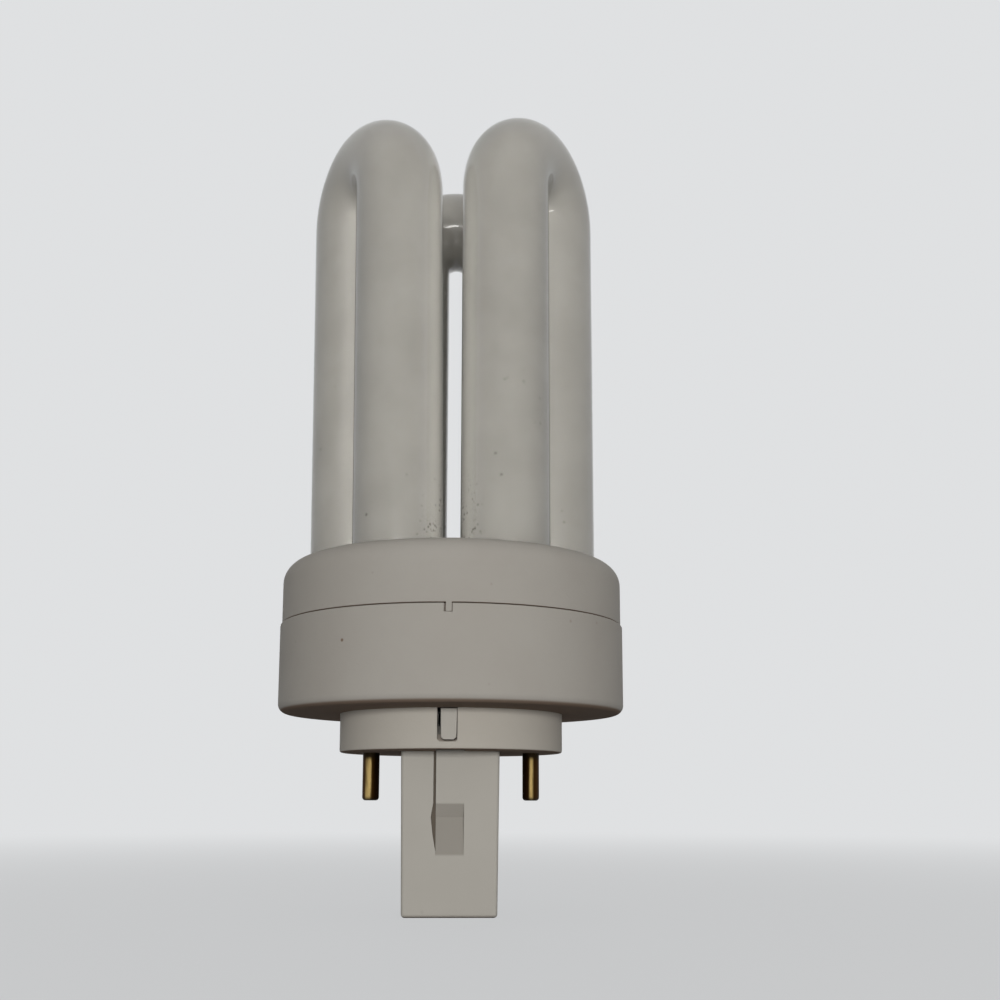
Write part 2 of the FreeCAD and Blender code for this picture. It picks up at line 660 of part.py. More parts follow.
def bent_wire(name, label, points):
    """A round wire along straight runs joined by tangent arcs."""
    bend = number("lead_bend_radius")
    edges = []
    start = points[0]
    for before, corner, after in zip(points, points[1:], points[2:]):
        to_corner = (corner - before).normalize()
        from_corner = (after - corner).normalize()
        turn = to_corner.getAngle(from_corner)
        setback = bend * math.tan(turn / 2)
        arc_start = corner - to_corner * setback
        arc_end = corner + from_corner * setback
        inward = (from_corner - to_corner).normalize()
        centre_distance = (bend ** 2 + setback ** 2) ** 0.5
        middle = corner + inward * (centre_distance - bend)
        edges.append(Part.LineSegment(start, arc_start).toShape())
        edges.append(Part.Arc(arc_start, middle, arc_end).toShape())
        start = arc_end
    edges.append(Part.LineSegment(start, points[-1]).toShape())
    path = Part.Wire(edges)
    direction = (points[1] - points[0]).normalize()
    ring = Part.Wire([Part.makeCircle(number("lead_diameter / 2"), points[0], direction)])
    wire = doc.addObject("Part::Feature", name)
    wire.Shape = path.makePipeShell([ring], True, True)
    wire.Label = label
    section = math.pi * number("lead_diameter") ** 2 / 4
    print(label, "volume ratio", round(wire.Shape.Volume / (section * path.Length), 4))
    return wire


def make_leads(side_name):
    """The two wires of one electrode: the outer to its pin, the inner to the starter."""
    side = SIDES[side_name]
    leg_x, leg_y = (number(value) for value in ELECTRODE_LEGS[side_name])
    spread = side * number("lead_spread") / 2
    top = number(f"{LEG_FOOT} - pinch_length - joint_gap")
    level = number(f"{BASE_FLOOR_TOP} + lead_rise")
    pin_x = side * number("pin_spacing") / 2
    pin_foot = number(f"{PIN_NECK_TOP} - pin_bore_depth + joint_gap")
    starter_x = side * number("starter_lead_spacing") / 2
    starter_foot = number(f"{STARTER_LEAD_TOP} + joint_gap")
    vector = FreeCAD.Vector
    to_pin = bent_wire(f"LeadPin_{side_name}", f"lead_pin_{side_name}", [
        vector(leg_x + spread, leg_y, top),
        vector(leg_x + spread, leg_y, level),
        vector(pin_x, 0, level),
        vector(pin_x, 0, pin_foot),
    ])
    to_starter = bent_wire(f"LeadStarter_{side_name}", f"lead_starter_{side_name}", [
        vector(leg_x - spread, leg_y, top),
        vector(leg_x - spread, leg_y, level),
        vector(starter_x, 0, level),
        vector(starter_x, 0, starter_foot),
    ])
    return [to_pin, to_starter]


nodes = [make_discharge_tube(), make_tube_holder(), make_base_housing(), make_starter_post()]
nodes += [make_contact_pin(side_name) for side_name in SIDES]
nodes += [make_glow_starter(), make_capacitor()]
for side_name in SIDES:
    nodes += make_leads(side_name)
doc.recompute()

for item in doc.Objects:
    if "Invalid" in item.State or "Error" in item.State:
        raise RuntimeError(f"{item.Name} failed: {item.State}")
for node in nodes:
    shape = node.Shape
    if shape.isNull() or not shape.isValid() or len(shape.Solids) != 1:
        raise RuntimeError(f"{node.Label} is not one valid solid")
for node in nodes:
    node.Shape.exportStep(f"parts/{node.Label}.step")
    print(node.Label, "volume", round(node.Shape.Volume, 1))
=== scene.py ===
import math

import bpy
from mathutils import Matrix, Vector


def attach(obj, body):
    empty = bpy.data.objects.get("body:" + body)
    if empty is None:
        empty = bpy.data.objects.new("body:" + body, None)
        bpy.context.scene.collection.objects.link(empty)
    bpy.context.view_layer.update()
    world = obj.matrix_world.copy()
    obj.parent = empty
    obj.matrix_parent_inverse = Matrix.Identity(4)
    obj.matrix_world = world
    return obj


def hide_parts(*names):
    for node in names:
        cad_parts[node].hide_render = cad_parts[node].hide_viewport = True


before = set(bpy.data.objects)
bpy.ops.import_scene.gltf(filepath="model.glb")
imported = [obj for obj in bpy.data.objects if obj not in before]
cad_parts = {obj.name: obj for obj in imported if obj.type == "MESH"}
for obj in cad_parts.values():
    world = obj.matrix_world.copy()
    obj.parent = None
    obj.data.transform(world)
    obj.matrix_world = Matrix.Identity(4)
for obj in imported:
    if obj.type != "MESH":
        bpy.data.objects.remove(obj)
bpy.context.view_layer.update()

# The bulb's own frame: the boss seats on z = 0, the tubes stand up from it and the broad faces of the
# post look along -Y (the front) and +Y.
MM = 0.001

# The glass, in metres. Each U stands on its own side of the axis, at an angle in degrees, and the left
# one leans. Its feet are rounded by a share of their radius.
TUBE_RADIUS = 6.21 * MM
GLASS_WALL = 0.8 * MM
LEG_SPACING = 14.73 * MM
U_OFFSET = 12.8045 * MM
U_ANGLES = {"back": 90, "left": 210, "right": 330}
RISES = {"back": 0, "left": 0, "right": 0.86 * MM}
LEANS = {"back": 0, "left": math.radians(0.6), "right": 0}
TUBE_TOP = 92.95 * MM
LEG_FOOT = 15.08 * MM
FOOT_ROUNDING = 0.32
BRIDGE_HEIGHT = 32.0 * MM
BRIDGE_RADIUS = 3.0 * MM

# The plastic and the pins, in millimetres, as their sections and outlines are drawn.
COLLAR_RADIUS = 24.58
COLLAR_TOP = 27.0
SHOULDER_ROUNDING = 3.0
SEAM_HEIGHT = 18.1
SEAM_ROUNDING = 0.2
BASE_RADIUS = 24.83
BASE_TOP = 18.0
BASE_ROUNDING = 1.2
UNDERSIDE = 5.48
BOSS_RADIUS = 16.0
BOSS_ROUNDING = 0.3
BOSS_FLOOR = 2.0
SOCKET_RADIUS = 7.56
BORE_RADIUS = 6.36
PIN_RADIUS = 1.2
PIN_SPACING = 23.0
POST_LENGTH = 22.5
POST_HALF_WIDTH = 6.84
POST_HALF_DEPTH = 7.2
POST_TAPER = 0.275

# How finely the round forms are divided, and how close points are merged.
HOUSING_SIDES = 192
BORE_SIDES = 96
TUBE_SIDES = 64
BRIDGE_SIDES = 48
BEND_STEPS = 40
MERGE_DISTANCE = 0.002 * MM

# What the camera sees behind the bulb, and the tints of the world's own light and of the lamps.
SURROUND = (0.74, 0.75, 0.76, 1)
AMBIENT = (1.0, 0.99, 0.97, 1)
LAMP_COLOUR = (1.0, 0.985, 0.96)


def deselect():
    """Leave nothing selected before the next piece is started."""
    bpy.ops.object.select_all(action="DESELECT")


def make_active(piece):
    """Select one piece alone."""
    deselect()
    bpy.context.view_layer.objects.active = piece
    piece.select_set(True)


def into_edit(piece):
    """Open a piece for editing with all of it selected."""
    make_active(piece)
    bpy.ops.object.mode_set(mode="EDIT")
    bpy.ops.mesh.select_all(action="SELECT")


def select_faces(piece, chosen):
    """In edit mode, select the faces that pass a test."""
    bpy.ops.mesh.select_mode(type="FACE")
    bpy.ops.mesh.select_all(action="DESELECT")
    bpy.ops.object.mode_set(mode="OBJECT")
    for face in piece.data.polygons:
        face.select = chosen(face)
    bpy.ops.object.mode_set(mode="EDIT")


def select_edges(piece, chosen):
    """In edit mode, select the edges whose lower and upper ends pass a test."""
    bpy.ops.mesh.select_mode(type="EDGE")
    bpy.ops.mesh.select_all(action="DESELECT")
    bpy.ops.object.mode_set(mode="OBJECT")
    for edge in piece.data.edges:
        heights = [piece.data.vertices[i].co.z for i in edge.vertices]
        edge.select = chosen(min(heights), max(heights))
    bpy.ops.object.mode_set(mode="EDIT")


def shade(piece, angle=35):
    """Shade a piece smooth where its faces meet at less than an angle in degrees."""
    make_active(piece)
    bpy.ops.object.shade_smooth_by_angle(angle=math.radians(angle))


def close_mesh(piece):
    """Merge doubled points, turn the faces outwards, leave edit mode and shade smooth."""
    bpy.ops.mesh.select_all(action="SELECT")
    bpy.ops.mesh.remove_doubles(threshold=MERGE_DISTANCE)
    bpy.ops.mesh.normals_make_consistent(inside=False)
    bpy.ops.object.mode_set(mode="OBJECT")
    shade(piece)


def apply_place(piece):
    """Put a piece's place and turn into its mesh, so that the object sits at the origin."""
    make_active(piece)
    bpy.ops.object.transform_apply(location=True, rotation=True, scale=True)


def apply_modifier(piece, kind, **values):
    """Add a modifier to a piece and apply it."""
    make_active(piece)
    modifier = piece.modifiers.new(kind.title(), kind)
    for name, value in values.items():
        setattr(modifier, name, value)
    bpy.ops.object.modifier_apply(modifier=modifier.name)


def merge_doubled(piece):
    """Merge the points that a union or a cut left doubled."""
    into_edit(piece)
    close_mesh(piece)


def combine(piece, others, operation, merge):
    """Unite solids with a piece or cut them out of it, and remove them."""
    for other in others:
        apply_modifier(piece, "BOOLEAN", operation=operation, solver="EXACT", object=other)
        bpy.data.objects.remove(other)
        if merge:
            merge_doubled(piece)


def join_solids(piece, others, merge=False):
    """Unite solids into one piece."""
    combine(piece, others, "UNION", merge)


def cut_solids(piece, cutters, merge=False):
    """Cut solids out of a piece."""
    combine(piece, cutters, "DIFFERENCE", merge)


def turned(name, rings, sides, centre=(0, 0)):
    """Turn a section into a solid that is closed by its two end faces.

    Each ring is a radius and a height in millimetres. The centre is in metres."""
    deselect()
    rings = [(radius * MM, height * MM) for radius, height in rings]
    radius, height = rings[0]
    bpy.ops.mesh.primitive_circle_add(vertices=sides, radius=radius, location=(*centre, height),
                                      fill_type="NGON")
    piece = bpy.context.active_object
    piece.name = name
    bpy.ops.object.transform_apply(location=True)
    into_edit(piece)
    for next_radius, next_height in rings[1:]:
        bpy.ops.mesh.extrude_region_move(TRANSFORM_OT_translate={"value": (0, 0, next_height - height)})
        ratio = next_radius / radius
        bpy.ops.transform.resize(value=(ratio, ratio, 1), center_override=(*centre, next_height))
        radius, height = next_radius, next_height
    close_mesh(piece)
    return piece


def u_tube(u_name, radius, foot):
    """One U of tube: two legs and a half-round bend, rounded at both feet and turned to its place.

    A U that leans does so from where it leaves the collar."""
    deselect()
    half = LEG_SPACING / 2
    bend_height = TUBE_TOP + RISES[u_name] - half - TUBE_RADIUS
    bpy.ops.mesh.primitive_circle_add(vertices=TUBE_SIDES, radius=radius, fill_type="NGON",
                                      location=(-half, 0, foot))
    piece = bpy.context.active_object
    piece.name = f"u_tube_{u_name}"
    bpy.ops.object.transform_apply(location=True)
    into_edit(piece)
    run = bend_height - foot
    bpy.ops.mesh.extrude_region_move(TRANSFORM_OT_translate={"value": (0, 0, run)})
    bpy.ops.mesh.spin(steps=BEND_STEPS, angle=math.pi, center=(0, 0, bend_height), axis=(0, -1, 0))
    bpy.ops.mesh.extrude_region_move(TRANSFORM_OT_translate={"value": (0, 0, -run)})
    bpy.ops.mesh.select_all(action="SELECT")
    bpy.ops.mesh.remove_doubles(threshold=MERGE_DISTANCE)
    select_faces(piece, lambda face: len(face.vertices) == TUBE_SIDES)
    bpy.ops.mesh.bevel(offset=radius * FOOT_ROUNDING, segments=5, affect="EDGES")
    close_mesh(piece)
    angle = math.radians(U_ANGLES[u_name])
    out = U_OFFSET - COLLAR_TOP * MM * math.sin(LEANS[u_name])
    piece.location = (out * math.cos(angle), out * math.sin(angle), 0)
    piece.rotation_euler = (-LEANS[u_name], 0, angle - math.pi / 2)
    apply_place(piece)
    return piece


def leg_centre(u_name, side):
    """Where one leg of a U stands; side -1 and 1 are its two legs."""
    angle = math.radians(U_ANGLES[u_name])
    x = U_OFFSET * math.cos(angle) - side * LEG_SPACING / 2 * math.sin(angle)
    y = U_OFFSET * math.sin(angle) + side * LEG_SPACING / 2 * math.cos(angle)
    return Vector((x, y, 0))


def glass_bridge(side_name, side, radius):
    """The short bridge of tube that joins a side leg to the back leg beside it."""
    start = leg_centre(side_name, side)
    end = leg_centre("back", -side)
    run = end - start
    middle = (start + end) / 2 + Vector((0, 0, BRIDGE_HEIGHT))
    turn = math.atan2(run.y, run.x) + math.pi / 2
    deselect()
    bpy.ops.mesh.primitive_cylinder_add(vertices=BRIDGE_SIDES, radius=radius, depth=run.length,
                                        location=middle, rotation=(math.pi / 2, 0, turn))
    piece = bpy.context.active_object
    apply_place(piece)
    return piece


def tube_assembly(name, radius, bridge_radius, foot):
    """Three U tubes and two bridges, joined into one closed solid."""
    pieces = [u_tube(u_name, radius, foot) for u_name in U_ANGLES]
    pieces += [glass_bridge("left", -1, bridge_radius), glass_bridge("right", 1, bridge_radius)]
    piece = pieces[0]
    join_solids(piece, pieces[1:])
    piece.name = name
    shade(piece, 40)
    return piece


def pin_place(side):
    """Where the left (-1) or right (1) pin stands, in metres."""
    return (side * PIN_SPACING * MM / 2, 0)


def contact_pin(side_name, side):
    """A brass pin: a rounded tip, the shank, the seating flange and the neck for its wire."""
    rings = [(0.35, -6.75), (0.78, -6.75), (0.98, -6.69), (1.12, -6.55), (PIN_RADIUS, -6.33),
             (PIN_RADIUS, -3.4), (PIN_RADIUS, 0), (1.4, 0), (1.4, BOSS_FLOOR), (2.0, BOSS_FLOOR),
             (2.0, 2.8), (1.0, 2.8), (1.0, 5.5)]
    return turned(f"contact_pin_{side_name}_turned", rings, 64, pin_place(side))


def arc_rings(centre_radius, centre_height, radius, start, end, steps):
    """Rings along a rounded edge, between two angles in degrees: 0 is outward and 90 is up."""
    rings = []
    for i in range(steps + 1):
        angle = math.radians(start + (end - start) * i / steps)
        rings.append((centre_radius + radius * math.cos(angle),
                      centre_height + radius * math.sin(angle)))
    return rings


def block(left, right, front, back, bottom, top):
    """A rectangular solid between sides given in millimetres."""
    deselect()
    middle = ((left + right) / 2 * MM, (front + back) / 2 * MM, (bottom + top) / 2 * MM)
    bpy.ops.mesh.primitive_cube_add(size=1, location=middle)
    piece = bpy.context.active_object
    piece.scale = ((right - left) * MM, (back - front) * MM, (top - bottom) * MM)
    apply_place(piece)
    return piece


def prism(corners, axis, start, end):
    """A solid that carries an outline in millimetres along X or Y, from start to end."""
    deselect()
    bpy.ops.mesh.primitive_circle_add(vertices=len(corners), radius=MM, fill_type="NGON")
    piece = bpy.context.active_object
    for vertex, (across, height) in zip(piece.data.vertices, corners):
        place = (start, across, height) if axis == "X" else (across, start, height)
        vertex.co = Vector(place) * MM
    into_edit(piece)
    step = (end - start) * MM
    bpy.ops.mesh.extrude_region_move(
        TRANSFORM_OT_translate={"value": (step, 0, 0) if axis == "X" else (0, step, 0)})
    close_mesh(piece)
    return piece


def opposite_copy(piece):
    """A copy of a piece turned half a turn round the bulb's axis."""
    copy = piece.copy()
    copy.data = piece.data.copy()
    bpy.context.scene.collection.objects.link(copy)
    copy.rotation_euler = (0, 0, math.pi)
    apply_place(copy)
    return copy


def even_shading(piece, angle=35):
    """Shade a piece smooth, with its large flat faces kept flat beside their rounded edges."""
    shade(piece, angle)
    apply_modifier(piece, "WEIGHTED_NORMAL", keep_sharp=True)


def soften(piece, width):
    """Round a piece's sharp edges by a width in millimetres, or by less where an edge is short."""
    apply_modifier(piece, "BEVEL", width=width * MM, segments=2, limit_method="ANGLE",
                   angle_limit=math.radians(30), miter_outer="MITER_ARC")
    even_shading(piece)


def make_collar():
    """The collar: a cap with a rounded shoulder, its skirt, six sockets and the locating tab."""
    end_radius, cap_inside, cap_underside = 4, 22.78, 24.8
    skirt_inside, skirt_outside, skirt_foot = 21.4, 22.8, 14.1
    rings = [(end_radius, cap_underside), (cap_inside, cap_underside), (cap_inside, 19.5),
             (skirt_inside, SEAM_HEIGHT), (skirt_inside, skirt_foot), (22.7, skirt_foot),
             (skirt_outside, 14.3), (skirt_outside, SEAM_HEIGHT)]
    rings += arc_rings(COLLAR_RADIUS - SEAM_ROUNDING, SEAM_HEIGHT + SEAM_ROUNDING, SEAM_ROUNDING,
                       -90, 0, 4)
    rings += arc_rings(COLLAR_RADIUS - SHOULDER_ROUNDING, COLLAR_TOP - SHOULDER_ROUNDING,
                       SHOULDER_ROUNDING, 0, 90, 12)
    rings.append((end_radius, COLLAR_TOP))
    collar = turned("collar_cap", rings, HOUSING_SIDES)
    legs = [leg_centre(u_name, side) for u_name in U_ANGLES for side in (-1, 1)]
    socket = [(SOCKET_RADIUS, 14.08), (SOCKET_RADIUS, 25.9)]
    join_solids(collar, [turned("socket", socket, TUBE_SIDES, leg.xy) for leg in legs], merge=True)
    bore = [(3.6, 13.0), (3.6, 15.08), (BORE_RADIUS, 15.08), (BORE_RADIUS, 26.74)]
    bore += [(6.4, 26.9), (6.5, COLLAR_TOP), (6.6, 27.1)]
    cut_solids(collar, [turned("bore", bore, BORE_SIDES, leg.xy) for leg in legs], merge=True)
    tab = block(-0.445, 0.305, -24.55, -23.98, 16.95, 19.25)
    join_solids(collar, [tab], merge=True)
    even_shading(collar)
    return collar


def make_base():
    """The lower shell on its boss, with openings for the post, the pins, the catches and the tab."""
    rings = [(2.0, 0)] + arc_rings(BOSS_RADIUS - BOSS_ROUNDING, BOSS_ROUNDING, BOSS_ROUNDING, -90, 0, 3)
    rings += arc_rings(16.1, 5.38, 0.1, 180, 90, 2)
    rings += arc_rings(BASE_RADIUS - BASE_ROUNDING, 6.68, BASE_ROUNDING, -90, 0, 8)
    rings += arc_rings(BASE_RADIUS - SEAM_ROUNDING, BASE_TOP - SEAM_ROUNDING, SEAM_ROUNDING, 0, 90, 4)
    rings += [(23.83, BASE_TOP), (23.83, SEAM_HEIGHT), (23.03, SEAM_HEIGHT), (23.03, 7.28)]
    rings += [(14.2, 7.28), (14.2, BOSS_FLOOR), (2.0, BOSS_FLOOR)]
    base = turned("base_shell", rings, HOUSING_SIDES)
    pin_hole = [(1.42, -1), (1.42, 3)]
    slot = block(-1.95, 1.95, -13.8, -7.2, -1, 3)
    window = prism([(-1.3, 0.95), (0.75, 0.95), (1.04, 1.25), (1.04, UNDERSIDE), (-1.65, UNDERSIDE),
                    (-1.65, 1.3)], "Y", -17.0, -14.0)
    cuts = [block(-7.04, 7.04, -7.4, 7.4, -1, 3)]
    cuts += [turned("pin_hole", pin_hole, 48, pin_place(side)) for side in (-1, 1)]
    cuts += [slot, opposite_copy(slot), window, opposite_copy(window)]
    cuts.append(block(-0.695, 0.405, -26, -23.7, 16.85, 18.3))
    cut_solids(base, cuts)
    soften(base, 0.07)
    merge_doubled(base)
    even_shading(base)
    return base


def make_post():
    """The plug post: a drafted box with its flange, two snap catches, two notches and two grooves."""
    post = block(-POST_HALF_WIDTH, POST_HALF_WIDTH, -POST_HALF_DEPTH, POST_HALF_DEPTH, -POST_LENGTH, 0)
    post.name = "plug_post"
    into_edit(post)
    select_faces(post, lambda face: face.normal.z > 0.5)
    bpy.ops.mesh.extrude_region_move(TRANSFORM_OT_translate={"value": (0, 0, 2.1 * MM)})
    select_faces(post, lambda face: face.normal.z < -0.5)
    end_width = (POST_HALF_WIDTH - POST_TAPER) / POST_HALF_WIDTH
    end_depth = (POST_HALF_DEPTH - POST_TAPER) / POST_HALF_DEPTH
    bpy.ops.transform.resize(value=(end_width, end_depth, 1), center_override=(0, 0, -POST_LENGTH * MM))
    select_edges(post, lambda low, high: low < -20 * MM or high - low > MM)
    bpy.ops.mesh.bevel(offset=0.5 * MM, segments=5, affect="EDGES")
    close_mesh(post)
    notch = prism([(-8.2, -7.06), (-7.1, -7.06), (-6.2, -9.0), (-6.9, -13.68), (-7.05, -14.7),
                   (-8.2, -14.7)], "X", -1.95, 1.95)
    groove = prism([(-1.94, 0.3), (-2.3, 0.3), (-2.3, -7.06), (-2.62, -9.0), (-2.36, -11.3),
                    (-1.94, -13.68)], "Y", -8.0, -6.5)
    cut_solids(post, [notch, opposite_copy(notch), groove, opposite_copy(groove)])
    soften(post, 0.09)
    flange = block(-8.5, 8.5, -9.5, 9.5, 2.0, 3.4)
    arm = block(-1.13, 0.93, -15.2, -8.1, 2.0, 3.4)
    head = prism([(-0.78, 1.2), (0.58, 1.2), (0.93, 1.55), (1.0, 5.38), (-1.2, 5.38), (-1.13, 1.55)],
                 "Y", -16.0, -14.4)
    soften(head, 0.12)
    join_solids(flange, [arm, opposite_copy(arm), head, opposite_copy(head)])
    join_solids(post, [flange])
    even_shading(post, 20)
    return post


def new_material(name):
    """An empty material with a shader and its output joined."""
    material = bpy.data.materials.new(name)
    material.use_nodes = True
    tree = material.node_tree
    tree.nodes.clear()
    output = tree.nodes.new("ShaderNodeOutputMaterial")
    shader = tree.nodes.new("ShaderNodeBsdfPrincipled")
    tree.links.new(shader.outputs["BSDF"], output.inputs["Surface"])
    return material, tree, shader


def new_group(name, inputs, outputs):
    """A shader node group with named sockets.

    Inputs are given as name: default value, outputs as name: kind of socket."""
    group = bpy.data.node_groups.new(name, "ShaderNodeTree")
    for socket, default in inputs.items():
        kind = "NodeSocketColor" if isinstance(default, tuple) else "NodeSocketFloat"
        item = group.interface.new_socket(name=socket, in_out="INPUT", socket_type=kind)
        item.default_value = default
    for socket, kind in outputs.items():
        group.interface.new_socket(name=socket, in_out="OUTPUT", socket_type=kind)
    return group, group.nodes.new("NodeGroupInput"), group.nodes.new("NodeGroupOutput")


def add_node(tree, kind, inputs=None, **values):
    """Add a node, set its properties and input values by name, and link its inputs.

    An input may be a socket, which is linked, or a plain value."""
    node = tree.nodes.new(f"ShaderNode{kind}")
    for name, value in values.items():
        if hasattr(node, name):
            setattr(node, name, value)
        else:
            node.inputs[name].default_value = value
    for socket, source in (inputs or {}).items():
        if isinstance(source, bpy.types.NodeSocket):
            tree.links.new(source, node.inputs[socket])
        else:
            node.inputs[socket].default_value = source
    return node


def ramp(tree, source, stops):
    """A smooth mask: each stop is a position and a grey level."""
    node = add_node(tree, "ValToRGB", {"Fac": source})
    elements = node.color_ramp.elements
    while len(elements) < len(stops):
        elements.new(0.5)
    for element, (position, level) in zip(elements, stops):
        element.position = position
        element.color = (level, level, level, 1)
    return node.outputs["Color"]


def mix_colour(tree, factor, first, second):
    """Mix two colours, each a socket or a plain colour. The result is a socket."""
    return add_node(tree, "Mix", {0: factor, 6: first, 7: second}, data_type="RGBA").outputs[2]


def times(tree, first, second):
    """Two masks multiplied."""
    return add_node(tree, "Math", {0: first, 1: second}, operation="MULTIPLY").outputs[0]


def times_plus(tree, first, second, third):
    """Two values multiplied, and a third added."""
    return add_node(tree, "Math", {0: first, 1: second, 2: third}, operation="MULTIPLY_ADD").outputs[0]


def larger(tree, first, second):
    """The larger of two masks."""
    return add_node(tree, "Math", {0: first, 1: second}, operation="MAXIMUM").outputs[0]


def size_of(tree, source):
    """A value without its sign."""
    return add_node(tree, "Math", {0: source}, operation="ABSOLUTE").outputs[0]


def fade(tree, source, start, end, low=0.0, high=1.0):
    """A mask that goes smoothly from low to high while a value goes from start to end."""
    limits = {"Value": source, "From Min": start, "From Max": end, "To Min": low, "To Max": high}
    return add_node(tree, "MapRange", limits, interpolation_type="SMOOTHSTEP").outputs["Result"]


def spread(tree, source, low, high):
    """A value from 0 to 1 laid out evenly between two others."""
    limits = {"Value": source, "To Min": low, "To Max": high}
    return add_node(tree, "MapRange", limits).outputs["Result"]


def band(tree, source, low, high, edge):
    """A mask that is 1 where a value lies between two limits."""
    rising = fade(tree, source, low - edge, low + edge)
    return times(tree, rising, fade(tree, source, high - edge, high + edge, 1.0, 0.0))


def object_place(tree):
    """A point's place on the piece."""
    return add_node(tree, "TexCoord").outputs["Object"]


def object_axes(tree):
    """A point's place on the piece, by its X, Y and Z."""
    return add_node(tree, "SeparateXYZ", {"Vector": object_place(tree)}).outputs


def scattered_dots(tree, place, dot_scale, dot_size, patch_scale, patch_edge):
    """Small dots of a cell pattern, kept only in scattered patches."""
    cells = add_node(tree, "TexVoronoi", {"Vector": place}, Scale=dot_scale)
    dot = ramp(tree, cells.outputs["Distance"], [(dot_size[0], 1.0), (dot_size[1], 0.0)])
    patches = add_node(tree, "TexNoise", {"Vector": place}, Scale=patch_scale, Detail=1.0)
    kept = ramp(tree, patches.outputs["Fac"], [(patch_edge[0], 0.0), (patch_edge[1], 1.0)])
    return times(tree, dot, kept)


def aged_plastic_group():
    """Moulded plastic that has yellowed a little: a cloudy tone, fine grain and specks, with painted
    shade and stains laid on through a mask.
    """
    group, start, end = new_group("aged_plastic", {
        "Plastic": (0.4, 0.385, 0.36, 1), "DirtAndShade": (0.12, 0.1, 0.08, 1),
        "Cloud": 0.1, "Speck": 0.5, "Grain": 0.1, "ShadeAndStain": 0.0,
    }, {"Colour": "NodeSocketColor", "Roughness": "NodeSocketFloat", "Normal": "NodeSocketVector"})
    given = start.outputs
    place = object_place(group)
    cloud = add_node(group, "TexNoise", {"Vector": place}, Scale=90.0, Detail=4.0, Roughness=0.55)
    cloudy = times(group, ramp(group, cloud.outputs["Fac"], [(0.3, 0.0), (0.72, 1.0)]), given["Cloud"])
    toned = mix_colour(group, cloudy, given["Plastic"], given["DirtAndShade"])
    specks = scattered_dots(group, place, 420.0, (0.0, 0.13), 150.0, (0.6, 0.68))
    speckled = mix_colour(group, times(group, specks, given["Speck"]), toned, given["DirtAndShade"])
    # Painted shade and stains, in the dark colour.
    shade_and_stain = mix_colour(group, given["ShadeAndStain"], speckled, given["DirtAndShade"])
    group.links.new(shade_and_stain, end.inputs["Colour"])
    grain = add_node(group, "TexNoise", {"Vector": place}, Scale=2600.0, Detail=2.0)
    wave = add_node(group, "TexNoise", {"Vector": place}, Scale=160.0, Detail=2.0)
    height = times_plus(group, grain.outputs["Fac"], 0.25, wave.outputs["Fac"])
    bump = add_node(group, "Bump", {"Height": height, "Strength": given["Grain"]}, Distance=0.2 * MM)
    group.links.new(bump.outputs["Normal"], end.inputs["Normal"])
    rough = spread(group, cloud.outputs["Fac"], 0.5, 0.62)
    group.links.new(larger(group, rough, given["ShadeAndStain"]), end.inputs["Roughness"])
    return group


def painted_crevice_shade(tree):
    """Painted shade: darker in the seams, grooves and corners that little light reaches."""
    nearness = add_node(tree, "AmbientOcclusion", samples=8, Distance=1.6 * MM)
    return times(tree, ramp(tree, nearness.outputs["AO"], [(0.15, 1.0), (0.62, 0.0)]), 0.5)


def painted_underside_shade(tree):
    """Painted shade, in brown, on the faces that look down."""
    normal = add_node(tree, "NewGeometry").outputs["Normal"]
    facing = add_node(tree, "SeparateXYZ", {"Vector": normal}).outputs["Z"]
    return fade(tree, facing, -0.8, -0.5, 0.9, 0.0)


def painted_recess_shade(tree):
    """Painted shade in the recesses of the post: heavy in the grooves, light in the notches."""
    axes = object_axes(tree)
    across = size_of(tree, axes["X"])
    depth = times_plus(tree, axes["Z"], -POST_TAPER / POST_LENGTH, size_of(tree, axes["Y"]))
    inside = fade(tree, depth, 7.1 * MM, 7.17 * MM, 1.0, 0.0)
    inside = times(tree, inside, fade(tree, across, 2.65 * MM, 2.75 * MM, 1.0, 0.0))
    inside = times(tree, inside, band(tree, axes["Z"], -14.75 * MM, 0.1 * MM, 0.05 * MM))
    return times(tree, inside, fade(tree, across, 1.93 * MM, 1.98 * MM, 0.33, 0.86))


def speck_mask(tree):
    """One dark speck on the front of the lower shell."""
    centre = (-13.85 * MM, -20.61 * MM, 13.7 * MM)
    spot = add_node(tree, "VectorMath", {0: object_place(tree), 1: centre}, operation="DISTANCE")
    return fade(tree, spot.outputs["Value"], 0.12 * MM, 0.30 * MM, 0.9, 0.0)


def plastic_material(name, colours, dirt_and_shade, cloud, speck, grain, own_mask):
    """One of the bulb's plastics, from the aged plastic group, with painted shade and a mask of its
    own.

    The second colour is the boss's: lighter, as painted light that makes up for the shade under the
    shell's overhang."""
    material, tree, shader = new_material(name)
    finish = tree.nodes.new("ShaderNodeGroup")
    finish.node_tree = AGED_PLASTIC
    for socket, value in (("DirtAndShade", dirt_and_shade), ("Cloud", cloud), ("Speck", speck), ("Grain", grain)):
        finish.inputs[socket].default_value = value
    # Painted light: the boss takes the lighter second colour.
    painted_boss_light = fade(tree, object_axes(tree)["Z"], 5.2 * MM, 5.9 * MM, 1.0, 0.0)
    tree.links.new(mix_colour(tree, painted_boss_light, *colours), finish.inputs["Plastic"])
    # Painted shade in the crevices and on the faces that look down; the own mask adds more painted
    # shade on the post and one speck on the shell.
    shade_and_stain = larger(tree, painted_crevice_shade(tree), painted_underside_shade(tree))
    tree.links.new(larger(tree, shade_and_stain, own_mask(tree)), finish.inputs["ShadeAndStain"])
    tree.links.new(finish.outputs["Colour"], shader.inputs["Base Color"])
    tree.links.new(finish.outputs["Roughness"], shader.inputs["Roughness"])
    tree.links.new(finish.outputs["Normal"], shader.inputs["Normal"])
    shader.inputs["Specular IOR Level"].default_value = 0.05
    return material


